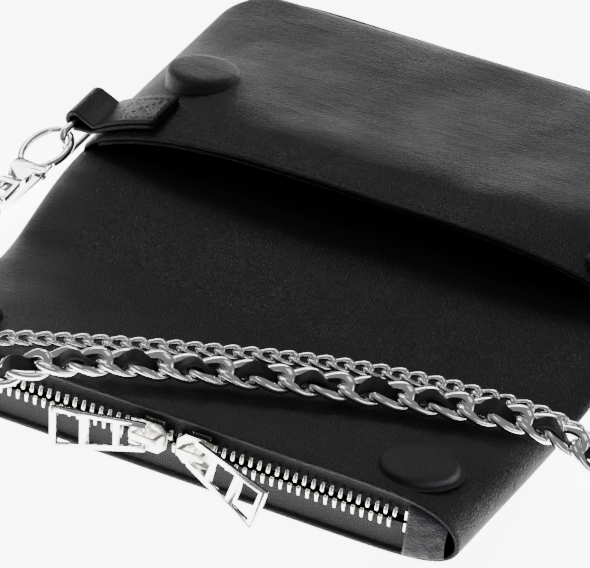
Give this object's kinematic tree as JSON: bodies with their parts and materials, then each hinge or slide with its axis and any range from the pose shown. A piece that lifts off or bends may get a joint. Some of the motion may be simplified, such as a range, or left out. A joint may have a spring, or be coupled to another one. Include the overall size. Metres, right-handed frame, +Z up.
{
  "type": "fold-over chain wallet",
  "caption": "Black pebbled-leather wallet lying opened out, with a zipped pouch end, a slip pocket, magnet snaps and a detachable double chain strap on trigger hooks.",
  "frame": {"origin": "on the resting face under the back panel, on the middle line across the fold, 6.4 mm in from the lower crease", "axes": "+Z up from the resting face; +X along the zip and the fold, to the right when the zip edge is nearest; +Y from the zip edge towards the slip pocket's sewn end"},
  "size_m": [0.3239, 0.2489, 0.0278],
  "materials": {
    "leather": "fine pebble grain, semi-matt",
    "snap_leather": "fine grain, stretched over the magnet",
    "lining": "woven lining",
    "zip_tape": "woven zip tape",
    "nickel": "polished nickel plate",
    "chain_nickel": "polished nickel plate, one chain laced with black leather",
    "magnet": "plain"
  },
  "bodies": {
    "pouch": {"back_panel": "leather", "front_panel": "leather", "pouch_lining": "lining", "lower_crease": "leather", "pocket_panel": "leather", "pocket_facing": "leather", "pocket_lining": "lining", "pocket_snap_left": "snap_leather", "pocket_snap_right": "snap_leather", "pocket_magnets": "magnet", "strap_tab_left": "leather", "strap_tab_right": "leather", "laced_chain": "chain_nickel", "fine_chain": "chain_nickel"},
    "spine": {"spine_back_panel": "leather", "spine_front_panel": "leather", "spine_lining": "lining", "upper_crease": "leather"},
    "zip_end": {"flap_back_panel": "leather", "flap_front_panel": "leather", "flap_lining": "lining", "flap_snap_left": "snap_leather", "flap_snap_right": "snap_leather", "flap_magnets": "magnet", "zip_tape_upper": "zip_tape", "zip_tape_lower": "zip_tape", "zip_teeth_upper": "nickel", "zip_teeth_lower": "nickel", "zip_stops": "nickel", "zip_end_tab_left": "leather", "zip_end_tab_right": "leather"},
    "slider_left": {"slider_left": "nickel"},
    "pull_left": {"pull_left": "nickel"},
    "tab_ring_left": {"tab_ring_left": "nickel"},
    "hook_left": {"hook_left": "nickel", "gate_pin_left": "nickel"},
    "gate_left": {"gate_left": "nickel"},
    "swivel_left": {"swivel_left": "nickel"},
    "end_ring_left": {"end_ring_left": "nickel"},
    "slider_right": {"slider_right": "nickel"},
    "pull_right": {"pull_right": "nickel"},
    "tab_ring_right": {"tab_ring_right": "nickel"},
    "hook_right": {"hook_right": "nickel", "gate_pin_right": "nickel"},
    "gate_right": {"gate_right": "nickel"},
    "swivel_right": {"swivel_right": "nickel"},
    "end_ring_right": {"end_ring_right": "nickel"}
  },
  "joints": [
    {"name": "fold_lower", "type": "hinge", "parent": "pouch", "child": "spine", "pos_m": [0, -0.0064, 0.0025], "axis": [-1, 0, 0], "range_deg": [0, 90], "deforming": ["laced_chain", "fine_chain"]},
    {"name": "fold_upper", "type": "hinge", "parent": "spine", "child": "zip_end", "pos_m": [0, -0.0392, 0.0025], "axis": [-1, 0, 0], "range_deg": [0, 90]},
    {"name": "slider_left_slide", "type": "slide", "parent": "zip_end", "child": "slider_left", "axis": [-1, 0, 0], "range_m": [0, 0.072]},
    {"name": "slider_right_slide", "type": "slide", "parent": "zip_end", "child": "slider_right", "axis": [1, 0, 0], "range_m": [0, 0.058]},
    {"name": "pull_left_swing", "type": "hinge", "parent": "slider_left", "child": "pull_left", "pos_m": [-0.0014, -0.11545, 0.0124], "axis": [-0.1326, 0.2723, 0.953], "range_deg": [0, 80]},
    {"name": "pull_right_swing", "type": "hinge", "parent": "slider_right", "child": "pull_right", "pos_m": [0.015, -0.11545, 0.0124], "axis": [-0.2416, -0.3063, -0.9208], "range_deg": [0, 80]},
    {"name": "tab_ring_left_swing", "type": "hinge", "parent": "pouch", "child": "tab_ring_left", "pos_m": [-0.1015, 0.021, 0.0108], "axis": [0, 1, 0], "range_deg": [0, 60]},
    {"name": "hook_left_tilt", "type": "hinge", "parent": "tab_ring_left", "child": "hook_left", "pos_m": [-0.10476, 0.01139, 0.00717], "axis": [0.9999, 0.015, 0], "range_deg": [-28, 2]},
    {"name": "gate_left_open", "type": "hinge", "parent": "hook_left", "child": "gate_left", "pos_m": [-0.09993, -0.01062, 0.00639], "axis": [0.0005, -0.035, 0.9994], "range_deg": [0, 12], "stiffness_Nm_per_rad": 0.004, "springref_deg": -20.05},
    {"name": "swivel_left_turn", "type": "hinge", "parent": "hook_left", "child": "swivel_left", "pos_m": [-0.10423, -0.02408, 0.00593], "axis": [0.015, -0.9993, -0.035], "continuous": true},
    {"name": "end_ring_left_swing", "type": "hinge", "parent": "swivel_left", "child": "end_ring_left", "pos_m": [-0.10411, -0.03168, 0.00566], "axis": [0.9999, 0.015, 0], "range_deg": [-60, 60]},
    {"name": "tab_ring_right_swing", "type": "hinge", "parent": "pouch", "child": "tab_ring_right", "pos_m": [0.1015, 0.021, 0.0108], "axis": [0, -1, 0], "range_deg": [0, 60]},
    {"name": "hook_right_tilt", "type": "hinge", "parent": "tab_ring_right", "child": "hook_right", "pos_m": [0.09917, 0.0089, 0.00717], "axis": [0.5101, 0.8601, 0], "range_deg": [-28, 2]},
    {"name": "gate_right_open", "type": "hinge", "parent": "hook_right", "child": "gate_right", "pos_m": [0.11588, -0.00623, 0.00639], "axis": [-0.0301, 0.0178, -0.9994], "range_deg": [0, 12], "stiffness_Nm_per_rad": 0.004, "springref_deg": -20.05},
    {"name": "swivel_right_turn", "type": "hinge", "parent": "hook_right", "child": "swivel_right", "pos_m": [0.12969, -0.00919, 0.00593], "axis": [0.8596, -0.5098, -0.035], "continuous": true},
    {"name": "end_ring_right_swing", "type": "hinge", "parent": "swivel_right", "child": "end_ring_right", "pos_m": [0.13622, -0.01307, 0.00566], "axis": [-0.5101, -0.8601, 0], "range_deg": [-60, 60]}
  ],
  "couplings": [
    {"joint": "fold_upper", "follows": "fold_lower", "ratio": 1}
  ]
}
